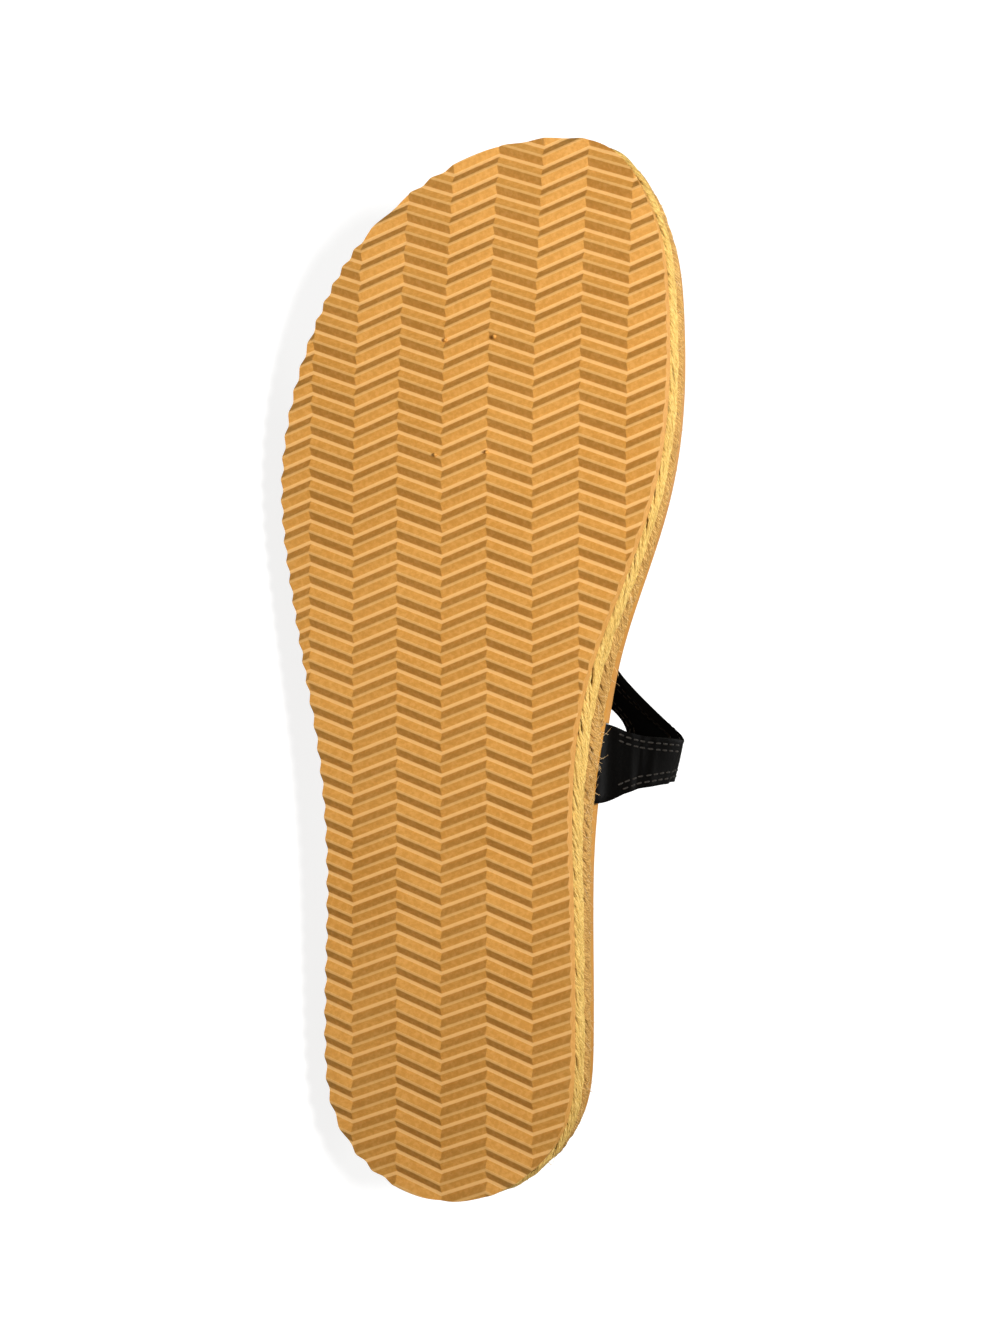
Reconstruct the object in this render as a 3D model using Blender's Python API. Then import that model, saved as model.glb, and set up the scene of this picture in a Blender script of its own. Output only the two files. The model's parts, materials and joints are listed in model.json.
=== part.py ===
"""Toe-loop sandal, right shoe, lying on its lateral side.

Sizes are millimetres in the shoe's own frame: X from heel to toe, Y from the lateral
to the medial side, Z up from the tread. One empty lays the finished shoe on the floor.
"""
import bmesh
import bpy
import numpy as np
from mathutils import Matrix, Vector

MM = 0.001
GAP = 0.3

# Sole outline and toe spring
SOLE_LENGTH = 255.0
TOE_SPRING = 11.0
SPRING_START = 165.0
HEEL_END_Y = 1.0
TOE_END_Y = 20.5
SOLE_EDGE = (
    # station as a share of the length, lateral edge, medial edge
    (0.028, -19.6, 20.0),
    (0.072, -27.9, 28.6),
    (0.140, -30.5, 31.0),
    (0.290, -30.0, 30.6),
    (0.430, -32.9, 31.5),
    (0.500, -36.3, 35.6),
    (0.565, -39.3, 42.0),
    (0.660, -42.2, 50.4),
    (0.740, -40.7, 53.4),
    (0.830, -34.5, 53.2),
    (0.895, -26.5, 51.0),
    (0.940, -16.4, 46.7),
    (0.983, 0.5, 38.7),
)
OUTLINE_POINTS = 96
OUTLINE_STEPS = 24
PRISM_LEVELS = ((-6.0, 0.0), (28.0, 0.0))
WAIST_LEAN = 3.0
WAIST_X = 111.0
WAIST_RUN = 27.0

# Layers of the sole, from the tread up
OUTSOLE_TOP = 5.0
LOWER_BRAID = (5.3, 11.5)
UPPER_BRAID = (11.8, 18.0)
FOOTBED = (18.3, 22.8)
BRAID_BULGE = 1.3
FOOTBED_EDGE = (
    # share of the thickness, distance out from the sole's edge
    (0.0, -0.8),
    (0.10, 0.2),
    (0.72, 0.4),
    (0.90, -0.1),
    (1.0, -1.0),
)

# Herringbone ridges of the tread
RIDGE_PITCH = 5.24
RIDGE_CREST = 0.6
RIDGE_VALLEY = 0.8
RIDGE_DEPTH = 1.4
RIDGE_START = -12.12
ZIGZAG_HALF = 11.3
ZIGZAG_RISE = 4.3
ZIGZAG_PEAK_Y = 10.4
ZIGZAG_COLUMNS = (-5, 5)
SLAB_SPARE = 18.0

# Straps
STRAP_THICK = 2.0
TOE_STRAP_HALF = 5.2
CORNER_RADIUS = 3.6
JUNCTION_ROLL = 62.0
JUNCTION_BLEND = 9.0
SLANT_RUN = 16.0
BAND = (
    # x, y, z, half width, slant of the width towards Y
    (126.0, -25.0, 19.8, 7.5, -0.19),
    (126.0, -31.6, 19.6, 7.5, -0.19),
    (126.0, -34.7, 20.5, 7.5, -0.19),
    (126.0, -35.4, 23.6, 7.4, -0.15),
    (125.6, -32.3, 30.0, 7.2, -0.09),
    (125.0, -27.2, 40.0, 7.0, -0.09),
    (122.6, -19.6, 53.0, 6.8, -0.08),
    (116.4, -6.5, 63.5, 6.6, 0.0),
    (108.8, 12.0, 67.0, 6.2, 0.0),
    (103.8, 28.5, 64.0, 5.8, 0.0),
    (103.3, 41.0, 56.0, 5.4, 0.12),
    (103.6, 47.0, 45.5, 5.4, 0.25),
    (103.6, 44.0, 35.0, 6.0, 0.12),
    (103.6, 37.5, 25.5, 7.8, 0.03),
    (103.6, 33.6, 20.8, 9.7, 0.05),
    (103.6, 30.0, 19.6, 10.0, 0.06),
    (103.6, 22.5, 19.8, 10.0, 0.06),
)
TOE_STRAP = (
    # x, y, z, roll of the width below level in degrees
    (113.0, 37.7, 58.1, 57.0),
    (117.5, 31.5, 60.8, 47.0),
    (123.0, 25.1, 63.4, 34.0),
    (131.2, 19.5, 65.0, 18.0),
    (147.0, 17.7, 64.4, 4.0),
    (170.0, 24.2, 60.6, 0.0),
    (190.0, 31.4, 55.0, 0.0),
)
TOE_LOOP = (
    # x, y, z, half width
    (204.0, 17.5, 21.2, 5.0),
    (204.0, 17.0, 27.0, 5.0),
    (204.0, 18.0, 37.0, 5.2),
    (204.0, 22.5, 47.5, 5.4),
    (204.0, 32.5, 52.6, 5.6),
    (204.0, 42.5, 47.5, 5.4),
    (204.0, 47.0, 37.0, 5.2),
    (204.0, 48.0, 27.0, 5.0),
    (204.0, 47.5, 21.2, 5.0),
)
LIP_Y = (-31.0, -46.0)
LIP_Z = (-0.6, 1.1)
LOOP_LEAN = 0.1
BAND_STEPS = 4
LOOP_STEPS = 5
STRAP_STEPS = 12
BAND_COLUMNS = 5
STRAP_NEAR = (0.0, 1.1, 2.2, 3.4, 5.0, 7.2)
STRAP_FAR = 10.5
STRAP_MIDDLE_ROWS = 15
SLOT_REACH = 0.5
LOOP_SLOT_DEPTH = 6.0
BAND_JUNCTION = (36, 44)
LOOP_JUNCTION = (16, 24)


def clear_scene():
    for thing in list(bpy.data.objects):
        bpy.data.objects.remove(thing, do_unlink=True)


def spline(rows, steps, closed=False):
    """Smooth cubic through the rows, with the given number of steps between two rows."""
    rows = np.asarray(rows, float)
    count = len(rows)
    ahead = np.roll(rows, -1, axis=0)
    span = np.linalg.norm((ahead - rows)[:, :3], axis=1)
    matrix = np.zeros((count, count))
    right = np.zeros_like(rows)
    for i in range(count):
        before, after = (i - 1) % count, (i + 1) % count
        if not closed and i in (0, count - 1):
            other, length = (after, span[0]) if i == 0 else (before, span[count - 2])
            sign = 1.0 if i == 0 else -1.0
            matrix[i, i], matrix[i, other] = 2.0, 1.0
            right[i] = 3.0 * sign * (rows[other] - rows[i]) / length
            continue
        back, fore = 1.0 / span[before], 1.0 / span[i]
        matrix[i, before], matrix[i, i], matrix[i, after] = back, 2.0 * (back + fore), fore
        right[i] = 3.0 * ((rows[i] - rows[before]) * back**2 + (rows[after] - rows[i]) * fore**2)
    slope = np.linalg.solve(matrix, right)
    f = (np.arange(steps) / steps)[:, None]
    parts = []
    for i in range(count if closed else count - 1):
        j = (i + 1) % count
        parts.append(
            (2 * f**3 - 3 * f**2 + 1) * rows[i]
            + (f**3 - 2 * f**2 + f) * span[i] * slope[i]
            + (3 * f**2 - 2 * f**3) * rows[j]
            + (f**3 - f**2) * span[i] * slope[j]
        )
    if not closed:
        parts.append(rows[-1:])
    return np.vstack(parts)


def unit(vectors):
    return vectors / np.linalg.norm(vectors, axis=-1, keepdims=True)


def rise(x):
    """Toe spring: the height by which the sole curls up at station x."""
    return TOE_SPRING * np.clip((x - SPRING_START) / (SOLE_LENGTH - SPRING_START), 0.0, None) ** 2


def outline(out, lean):
    """Sole outline from the heel end round by the lateral side, moved outwards by out, and at the
    medial waist by lean as well."""
    lateral = [(share * SOLE_LENGTH, low) for share, low, high in SOLE_EDGE]
    medial = [(share * SOLE_LENGTH, high) for share, low, high in SOLE_EDGE]
    corners = [(0.0, HEEL_END_Y)] + lateral + [(SOLE_LENGTH, TOE_END_Y)] + medial[::-1]
    fine = spline(corners, OUTLINE_STEPS, closed=True)
    step = np.linalg.norm(np.roll(fine, -1, axis=0) - fine, axis=1)
    along = np.concatenate(([0.0], np.cumsum(step)))
    loop = np.vstack((fine, fine[:1]))
    even = np.linspace(0.0, along[-1], OUTLINE_POINTS, endpoint=False)
    points = np.stack([np.interp(even, along, loop[:, k]) for k in range(2)], axis=1)
    ahead = unit(np.roll(points, -1, axis=0) - np.roll(points, 1, axis=0))
    waist = np.exp(-(((points[:, 0] - WAIST_X) / WAIST_RUN) ** 2)) * (points[:, 1] > 0.0)
    return points + (out + lean * waist)[:, None] * np.stack((ahead[:, 1], -ahead[:, 0]), axis=1)


def add_object(name, points, faces, material=None):
    mesh = bpy.data.meshes.new(name)
    mesh.from_pydata([tuple(p * MM) for p in np.asarray(points, float)], [], faces)
    work = bmesh.new()
    work.from_mesh(mesh)
    bmesh.ops.recalc_face_normals(work, faces=work.faces)
    work.to_mesh(mesh)
    work.free()
    thing = bpy.data.objects.new(name, mesh)
    bpy.context.scene.collection.objects.link(thing)
    if material:
        mesh.materials.append(material)
    return thing


def add_material(name, colour, roughness):
    material = bpy.data.materials.new(name)
    material.use_nodes = True
    shader = material.node_tree.nodes["Principled BSDF"]
    shader.inputs["Base Color"].default_value = (*colour, 1.0)
    shader.inputs["Roughness"].default_value = roughness
    return material


def add_cutter(thing, cutter, operation):
    cutter.hide_render = True
    cutter.display_type = "WIRE"
    cut = thing.modifiers.new(operation.title(), "BOOLEAN")
    cut.operation = operation
    cut.solver = "EXACT"
    cut.object = cutter


def give_thickness(sheet, thick):
    wall = sheet.modifiers.new("Thickness", "SOLIDIFY")
    wall.thickness = thick * MM
    wall.offset = 0.0
    wall.use_quality_normals = True


def add_layer(name, levels, material, bent=True):
    """Plate with the sole's outline; levels give each ring's height and distance out.

    A bent plate follows the toe spring and the lean of the wall at the waist.
    """
    rings = []
    for height, out in levels:
        edge = outline(out, bent * WAIST_LEAN * (height - OUTSOLE_TOP) / (FOOTBED[1] - OUTSOLE_TOP))
        rings.append(np.column_stack((edge, height + bent * rise(edge[:, 0]))))
    points = np.vstack(rings)
    n = OUTLINE_POINTS
    top = (len(rings) - 1) * n
    faces = []
    for k in range(len(rings) - 1):
        for i in range(n):
            j = (i + 1) % n
            faces.append((k * n + i, k * n + j, k * n + n + j, k * n + n + i))
    for i in range(n // 2):
        strip = (i, i + 1, (n - i - 1) % n, (n - i) % n)
        strip = tuple(dict.fromkeys(strip))
        faces.append(strip[::-1])
        faces.append(tuple(top + k for k in strip))
    return add_object(name, points, faces, material)


def braid_levels(low, high):
    """Half-round side of one braid row, with a narrow flat shoulder above and below."""
    angle = np.radians((-90, -60, -30, 0, 30, 60, 90))
    middle, half = (low + high) / 2, (high - low) / 2
    return [(middle + half * np.sin(a), -0.2 + BRAID_BULGE * np.cos(a)) for a in angle]


def add_outsole(material):
    """Ridged slab, kept inside the sole's outline."""
    column = np.arange(*ZIGZAG_COLUMNS)
    y = ZIGZAG_PEAK_Y + ZIGZAG_HALF * column
    zig = np.where(column % 2 == 0, ZIGZAG_RISE, 0.0)
    flank = (RIDGE_PITCH - RIDGE_CREST - RIDGE_VALLEY) / 2
    crest_end = RIDGE_CREST
    valley_start = crest_end + flank
    valley_end = valley_start + RIDGE_VALLEY
    profile = np.array(
        ((0.0, 0.0), (crest_end, 0.0), (valley_start, RIDGE_DEPTH), (valley_end, RIDGE_DEPTH))
    )
    ridges = int((SOLE_LENGTH + SLAB_SPARE) / RIDGE_PITCH)
    start = RIDGE_START + RIDGE_PITCH * np.arange(ridges)
    line_x = (start[:, None] + profile[:, 0]).ravel()
    line_z = np.tile(profile[:, 1], ridges)
    x = line_x[:, None] + zig
    bottom = np.stack((x, np.broadcast_to(y, x.shape), line_z[:, None] + rise(x)), axis=2)
    keep = np.unique(np.append(np.arange(0, len(x), 4), len(x) - 1))
    over = bottom[keep].copy()
    over[:, :, 2] = OUTSOLE_TOP + rise(over[:, :, 0])
    rows, cols = x.shape
    tops = len(keep)
    base = rows * cols
    faces = []
    for i in range(rows - 1):
        for j in range(cols - 1):
            a = i * cols + j
            faces.append((a, a + 1, a + cols + 1, a + cols))
    for i in range(tops - 1):
        for j in range(cols - 1):
            a = base + i * cols + j
            faces.append((a, a + cols, a + cols + 1, a + 1))
    for j in (0, cols - 1):
        low = [i * cols + j for i in range(rows)]
        high = [base + i * cols + j for i in range(tops)]
        faces.append(tuple(low + high[::-1]))
    for i, k in ((0, 0), (rows - 1, tops - 1)):
        for j in range(cols - 1):
            a, b = i * cols + j, base + k * cols + j
            faces.append((a, a + 1, b + 1, b))
    slab = add_object("outsole", np.vstack((bottom.reshape(-1, 3), over.reshape(-1, 3))), faces, material)
    prism = add_layer("outsole_outline", PRISM_LEVELS, None, bent=False)
    add_cutter(slab, prism, "INTERSECT")
    return slab, prism


def ribbon(path, half, width_way, columns, square=1.0):
    """Grid of points: one row for each path point, spread across the width along width_way.

    square turns a row from width_way itself, at 0, to a right angle with the path, at 1. A slanting
    row is longer, so that the ribbon keeps its width.
    """
    along = unit(np.gradient(path, axis=0))
    lean = (width_way * along).sum(axis=1, keepdims=True)
    across = unit(width_way - square * lean * along)
    reach = half / np.linalg.norm(np.cross(across, along), axis=1)
    share = np.linspace(-1.0, 1.0, columns)
    return path[:, None] + reach[:, None, None] * share[None, :, None] * across[:, None]


def add_upper(name, material, thick, grow=0.0, reach=0.0):
    """Band, toe strap and toe loop as one sheet given its thickness.

    The toe strap begins on the band's toe-side edge and ends on the loop's heel-side edge,
    widening to both with rounded corners. grow and reach make the larger copy that cuts
    the footbed's slots.
    """
    band_rows = np.array(BAND)
    band_rows[0, 1] += reach
    band_rows[-1, 1] -= reach
    loop_rows = np.array(TOE_LOOP)
    loop_rows[[0, -1], 2] -= LOOP_SLOT_DEPTH * reach
    band = spline(band_rows, BAND_STEPS)
    way = np.column_stack((np.ones(len(band)), band[:, 4], np.zeros(len(band))))
    band_grid = ribbon(band[:, :3], band[:, 3] + grow, way, BAND_COLUMNS)
    loop = spline(loop_rows, LOOP_STEPS)
    way = np.tile((1.0, 0.0, LOOP_LEAN), (len(loop), 1))
    loop_grid = ribbon(loop[:, :3], loop[:, 3] + grow, way, BAND_COLUMNS)

    start = band_grid[BAND_JUNCTION[0]:BAND_JUNCTION[1] + 1, -1]
    end = loop_grid[LOOP_JUNCTION[0]:LOOP_JUNCTION[1] + 1, 0]
    across = len(start)
    first, last = start[across // 2], end[across // 2]
    table = [(*first, JUNCTION_ROLL)] + list(TOE_STRAP) + [(*last, 0.0)]
    path = spline(table, STRAP_STEPS)
    step = np.linalg.norm(np.diff(path[:, :3], axis=0), axis=1)
    run = np.concatenate(([0.0], np.cumsum(step)))
    near = np.array(STRAP_NEAR)
    middle = np.linspace(STRAP_FAR, run[-1] - STRAP_FAR, STRAP_MIDDLE_ROWS)
    place = np.concatenate((near, middle, run[-1] - near[::-1]))
    row = np.stack([np.interp(place, run, path[:, k]) for k in range(4)], axis=1)

    def corner(distance):
        inside = np.clip(CORNER_RADIUS - distance, 0.0, CORNER_RADIUS)
        return CORNER_RADIUS - np.sqrt(CORNER_RADIUS**2 - inside**2)

    half = TOE_STRAP_HALF + grow + corner(place) + corner(run[-1] - place)
    roll = np.radians(row[:, 3])
    way = np.column_stack((np.zeros(len(roll)), np.cos(roll), -np.sin(roll)))
    square = 1.0 - np.exp(-((place / SLANT_RUN) ** 2))[:, None]
    strap_grid = ribbon(row[:, :3], half, way, across, square)
    fade_start = np.exp(-((place / JUNCTION_BLEND) ** 2))[:, None, None]
    fade_end = np.exp(-(((run[-1] - place) / JUNCTION_BLEND) ** 2))[:, None, None]
    strap_grid = strap_grid + fade_start * (start - strap_grid[0]) + fade_end * (end - strap_grid[-1])

    n_band = len(band_grid) * BAND_COLUMNS
    n_loop = len(loop_grid) * BAND_COLUMNS
    grids = (band_grid, loop_grid, strap_grid[1:-1])
    points = np.vstack([grid.reshape(-1, 3) for grid in grids])
    band_ids = np.arange(n_band).reshape(-1, BAND_COLUMNS)
    loop_ids = n_band + np.arange(n_loop).reshape(-1, BAND_COLUMNS)
    inner_ids = n_band + n_loop + np.arange((len(place) - 2) * across).reshape(-1, across)
    strap_ids = np.vstack((
        band_ids[BAND_JUNCTION[0]:BAND_JUNCTION[1] + 1, -1],
        inner_ids,
        loop_ids[LOOP_JUNCTION[0]:LOOP_JUNCTION[1] + 1, 0],
    ))
    faces = []
    for ids, flip in ((band_ids, False), (loop_ids, False), (strap_ids, True)):
        for i in range(ids.shape[0] - 1):
            for j in range(ids.shape[1] - 1):
                face = (ids[i, j], ids[i, j + 1], ids[i + 1, j + 1], ids[i + 1, j])
                face = tuple(int(k) for k in face)
                faces.append(face[::-1] if flip else face)
    sheet = add_object(name, points, faces, material)
    give_thickness(sheet, thick)
    return sheet


def add_lip_cutter(name, tab, inner, outer):
    """Flat block that takes away the footbed's lower lip under the bend of the band."""
    x, half, slant = tab[0], tab[3] + 2 * GAP, tab[4]
    run = slant * half
    plan = [(x + side * half, inner + side * run) for side in (-1, 1)]
    plan += [(x + side * half, outer + side * run) for side in (1, -1)]
    points = [(a, b, FOOTBED[0] + z) for z in LIP_Z for a, b in plan]
    faces = [(0, 1, 2, 3), (4, 5, 6, 7)] + [(k, (k + 1) % 4, (k + 1) % 4 + 4, k + 4) for k in range(4)]
    return add_object(name, points, faces)


def lay_on_side(things, helpers):
    """Turns the shoe about until sole edge and band rest on the floor, and centres it there.

    The floor is the largest lateral face of the hull round all the pieces.
    """
    bpy.context.view_layer.update()
    graph = bpy.context.evaluated_depsgraph_get()
    hull = bmesh.new()
    corners = []
    for thing in things:
        shape = thing.evaluated_get(graph)
        mesh = shape.to_mesh()
        corners += [vertex.co.copy() for vertex in mesh.vertices]
        shape.to_mesh_clear()
    for corner in corners:
        hull.verts.new(corner)
    bmesh.ops.convex_hull(hull, input=hull.verts)
    hull.normal_update()
    sides = [face for face in hull.faces if face.normal.y < -0.5]
    floor = max(sides, key=lambda face: face.calc_area())
    up = -floor.normal
    ahead = (Vector((1, 0, 0)) - up * up.x).normalized()
    left = up.cross(ahead)
    turn = Matrix((ahead, left, up))
    hull.free()
    placed = np.array([turn @ corner for corner in corners])
    low, high = placed.min(axis=0), placed.max(axis=0)
    shift = Vector((-(low[0] + high[0]) / 2, -(low[1] + high[1]) / 2, -low[2]))
    pose = bpy.data.objects.new("lying_on_its_side", None)
    bpy.context.scene.collection.objects.link(pose)
    pose.matrix_world = Matrix.Translation(shift) @ turn.to_4x4()
    for thing in list(things) + list(helpers):
        thing.parent = pose
    bpy.context.view_layer.update()
    return pose


clear_scene()
rubber = add_material("tan_rubber", (0.52, 0.27, 0.075), 0.55)
jute_gold = add_material("golden_jute", (0.72, 0.46, 0.13), 0.9)
jute_tan = add_material("tan_jute", (0.62, 0.35, 0.13), 0.9)
tan_leather = add_material("tan_leather", (0.56, 0.28, 0.07), 0.5)
black_leather = add_material("black_leather", (0.012, 0.011, 0.011), 0.4)

outsole, outsole_prism = add_outsole(rubber)
lower_braid = add_layer("lower_braid", braid_levels(*LOWER_BRAID), jute_gold)
upper_braid = add_layer("upper_braid", braid_levels(*UPPER_BRAID), jute_tan)
footbed_levels = [(FOOTBED[0] + share * (FOOTBED[1] - FOOTBED[0]), out) for share, out in FOOTBED_EDGE]
footbed = add_layer("footbed", footbed_levels, tan_leather)
upper = add_upper("upper", black_leather, STRAP_THICK)
slots = add_upper("footbed_slots", None, STRAP_THICK + 2 * GAP, grow=GAP, reach=SLOT_REACH)
lip = add_lip_cutter("footbed_lip", BAND[0], *LIP_Y)
add_cutter(footbed, slots, "DIFFERENCE")
add_cutter(footbed, lip, "DIFFERENCE")
pieces = (outsole, lower_braid, upper_braid, footbed, upper)
lay_on_side(pieces, (outsole_prism, slots, lip))
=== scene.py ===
"""Toe-loop sandal for the right foot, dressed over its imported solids."""

import json

import bpy
import numpy as np
from mathutils import Matrix


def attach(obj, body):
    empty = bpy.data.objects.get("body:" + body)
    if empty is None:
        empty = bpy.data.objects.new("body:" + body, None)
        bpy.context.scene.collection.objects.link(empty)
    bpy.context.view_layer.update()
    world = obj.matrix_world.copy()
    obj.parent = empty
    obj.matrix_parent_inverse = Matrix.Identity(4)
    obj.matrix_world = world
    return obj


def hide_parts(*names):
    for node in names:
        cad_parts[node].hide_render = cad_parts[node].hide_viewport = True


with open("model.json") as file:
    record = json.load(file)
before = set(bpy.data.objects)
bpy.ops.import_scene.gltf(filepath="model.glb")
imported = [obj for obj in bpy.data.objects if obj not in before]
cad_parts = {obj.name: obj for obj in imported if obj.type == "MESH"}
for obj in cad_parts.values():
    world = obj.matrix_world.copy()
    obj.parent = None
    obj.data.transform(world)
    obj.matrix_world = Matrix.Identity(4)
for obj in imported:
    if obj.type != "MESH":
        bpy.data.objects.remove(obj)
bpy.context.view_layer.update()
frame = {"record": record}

# How the sandal lies
# The shoe's own frame is in millimetres: X from heel to toe, Y from the lateral to the medial
# side, Z up from the tread. Two ridge crests of the tread, both in the record, carry it to the floor.
MM = 0.001
TREAD_HEEL = np.array((32.25, 4.75, 0.0))


def unit(vectors):
    """Each vector divided by its own length."""
    return vectors / np.linalg.norm(vectors, axis=-1, keepdims=True)


mounts = {mount["name"]: mount for mount in frame["record"]["mounts"]}
heel_point = np.array(mounts["tread_heel"]["pos_m"])
toe_way = unit(np.array(mounts["tread_ball"]["pos_m"]) - heel_point)
medial_way = unit(np.cross(toe_way, np.array(mounts["tread_heel"]["axis"])))
shoe_ways = np.stack((toe_way, medial_way, np.cross(toe_way, medial_way)))


def laid(points):
    """Shoe millimetres to floor metres: the heel crest plus the three offsets along the shoe's ways."""
    return heel_point + (np.asarray(points, float) - TREAD_HEEL) @ shoe_ways * MM


# Outsole
# A tan rubber sheet with a moulded herringbone, cut to the sole's outline so that the ridges run out
# at the edge. It is glued under the lower braid and curls up a little at the toe.
SOLE_LENGTH = 255.0
SOLE_EDGE = np.array((
    # share of the length, lateral edge, medial edge
    (0.028, -19.6, 20.0),
    (0.072, -27.9, 28.6),
    (0.140, -30.5, 31.0),
    (0.290, -30.0, 30.6),
    (0.430, -32.9, 31.5),
    (0.500, -36.3, 35.6),
    (0.565, -39.3, 42.0),
    (0.660, -42.2, 50.4),
    (0.740, -40.7, 53.4),
    (0.830, -34.5, 53.2),
    (0.895, -26.5, 51.0),
    (0.940, -16.4, 46.7),
    (0.983, 0.5, 38.7),
))
HEEL_END = (0.0, 1.0)
TOE_END = (SOLE_LENGTH, 20.5)
TOE_SPRING = 11.0
SPRING_START = 165.0
OUTSOLE_TOP = 5.0
FOOTBED_LOW = 18.3
FOOTBED_HIGH = 22.8
WAIST_LEAN = 3.0
WAIST_X = 111.0
WAIST_RUN = 27.0
RIDGE_PITCH = 5.24
RIDGE_DEPTH = 1.4
FIRST_CREST = -11.82
RIDGE_COUNT = 52
ZIGZAG_HALF = 11.3
ZIGZAG_RISE = 4.3
ZIGZAG_PEAK_Y = 10.4
ZIGZAG_COLUMNS = (-5, 5)
# distance along the sole from the middle of a crest or a valley, and off its level
CREST_ROUND = np.array(((0.18, 0.0), (0.278, 0.021), (0.369, 0.062)))
VALLEY_ROUND = np.array(((0.487, 0.074), (0.377, 0.025), (0.26, 0.0)))
EDGE_STEPS = 160
# height and distance out from the sole's edge, of each ring of a block or a core
BLOCK_LEVELS = ((-6.0, 0.0), (28.0, 0.0))
BLOCK_POINTS = 384
WELD_WITHIN = 0.08
GROOVE_END = 1.05
PLAIN_LIFT = 0.5
RIDGE_ANGLE = 7
RUBBER_TANS = ((0.57, 0.265, 0.046), (0.63, 0.305, 0.06))
RUBBER_SPECK = (0.45, 0.21, 0.05)
RUBBER_DARK = (0.44, 0.195, 0.036)
RUBBER_LIGHT = (0.74, 0.40, 0.125)
# colour of the painted highlight lines along the valleys and crests
RUBBER_HIGHLIGHT = (0.83, 0.49, 0.175)

zigzag_column = np.arange(*ZIGZAG_COLUMNS)
zigzag_y = ZIGZAG_PEAK_Y + ZIGZAG_HALF * zigzag_column
zigzag_x = np.where(zigzag_column % 2 == 0, ZIGZAG_RISE, 0.0)


def smooth_path(rows, steps, closed=False):
    """Natural cubic through the rows, over chord length.

    The slopes solve one linear system that makes the bending agree on both sides of each row; each
    stretch is then the cubic that has the two rows and the two slopes at its ends.
    """
    rows = np.asarray(rows, float)
    after, before = np.roll(rows, -1, axis=0), np.roll(rows, 1, axis=0)
    span = np.linalg.norm((after - rows)[:, :3], axis=1)
    fore, back = (1.0 / span)[:, None], (1.0 / np.roll(span, 1))[:, None]
    eye = np.eye(len(rows))
    matrix = 2.0 * (fore + back) * eye + back * np.roll(eye, -1, axis=1) + fore * np.roll(eye, 1, axis=1)
    right = 3.0 * ((rows - before) * back**2 + (after - rows) * fore**2)
    if not closed:
        matrix[0] = 2.0 * eye[0] + eye[1]
        matrix[-1] = 2.0 * eye[-1] + eye[-2]
        right[0] = 3.0 * (rows[1] - rows[0]) / span[0]
        right[-1] = 3.0 * (rows[-1] - rows[-2]) / span[-2]
    slope = np.linalg.solve(matrix, right)
    last = len(rows) if closed else len(rows) - 1
    f = (np.arange(steps) / steps)[None, :, None]
    start, end = rows[:last, None], after[:last, None]
    lead = (span[:, None] * slope)[:last, None]
    tail = (span[:, None] * np.roll(slope, -1, axis=0))[:last, None]
    path = (2 * f**3 - 3 * f**2 + 1) * start + (f**3 - 2 * f**2 + f) * lead
    path = path + (3 * f**2 - 2 * f**3) * end + (f**3 - f**2) * tail
    path = path.reshape(-1, rows.shape[1])
    return path if closed else np.vstack((path, rows[-1:]))


def rise(x):
    """Toe spring: grows with the square of the distance past its start."""
    return TOE_SPRING * np.clip((x - SPRING_START) / (SOLE_LENGTH - SPRING_START), 0.0, None) ** 2


edge_rows = np.vstack((
    HEEL_END,
    np.column_stack((SOLE_EDGE[:, 0] * SOLE_LENGTH, SOLE_EDGE[:, 1])),
    TOE_END,
    np.column_stack((SOLE_EDGE[::-1, 0] * SOLE_LENGTH, SOLE_EDGE[::-1, 2])),
))
edge_fine = smooth_path(edge_rows, EDGE_STEPS, closed=True)
edge_step = np.linalg.norm(np.roll(edge_fine, -1, axis=0) - edge_fine, axis=1)
edge_run = np.concatenate(((0.0,), np.cumsum(edge_step)))
EDGE_LENGTH = edge_run[-1]
edge_ahead = unit(np.roll(edge_fine, -1, axis=0) - np.roll(edge_fine, 1, axis=0))
edge_out = np.column_stack((edge_ahead[:, 1], -edge_ahead[:, 0]))


def along_edge(run, out, level=OUTSOLE_TOP):
    """Points of the sole's outline at these distances along it, moved outwards by out, and each way out.

    At the medial waist the wall leans: a bell along the sole, in step with the level above the outsole.
    """
    run = np.mod(run, EDGE_LENGTH)
    closed = np.vstack((edge_fine, edge_fine[:1])), np.vstack((edge_out, edge_out[:1]))
    place, way = (
        np.stack([np.interp(run, edge_run, table[:, k]) for k in range(2)], axis=-1) for table in closed
    )
    waist = np.exp(-(((place[:, 0] - WAIST_X) / WAIST_RUN) ** 2)) * (place[:, 1] > 0.0)
    lean = WAIST_LEAN * (level - OUTSOLE_TOP) / (FOOTBED_HIGH - OUTSOLE_TOP)
    return place + (out + lean * waist)[:, None] * way, way


def plate(levels, count, bent=True):
    """Solid with the sole's outline: one ring of points for each height and distance out.

    Strips that run across the sole from the lateral to the medial edge close it above and below.
    """
    run = np.linspace(0.0, EDGE_LENGTH, count, endpoint=False)
    rings = []
    for height, out in levels:
        ring = along_edge(run, out, height if bent else OUTSOLE_TOP)[0]
        rings.append(np.column_stack((ring, height + bent * rise(ring[:, 0]))))
    low = np.arange(count)
    high = np.roll(low, -1)
    walls = [
        np.column_stack((k * count + low, k * count + high, (k + 1) * count + high, (k + 1) * count + low))
        for k in range(len(levels) - 1)
    ]
    faces = np.vstack(walls)[:, ::-1].tolist()
    lateral = np.arange(count // 2)
    strips = np.column_stack((lateral, lateral + 1, count - lateral - 1, (count - lateral) % count))
    top = (len(levels) - 1) * count
    for strip in strips.tolist():
        corners = list(dict.fromkeys(strip))
        faces.append(corners)
        faces.append([top + k for k in corners[::-1]])
    return np.vstack(rings), faces


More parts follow.
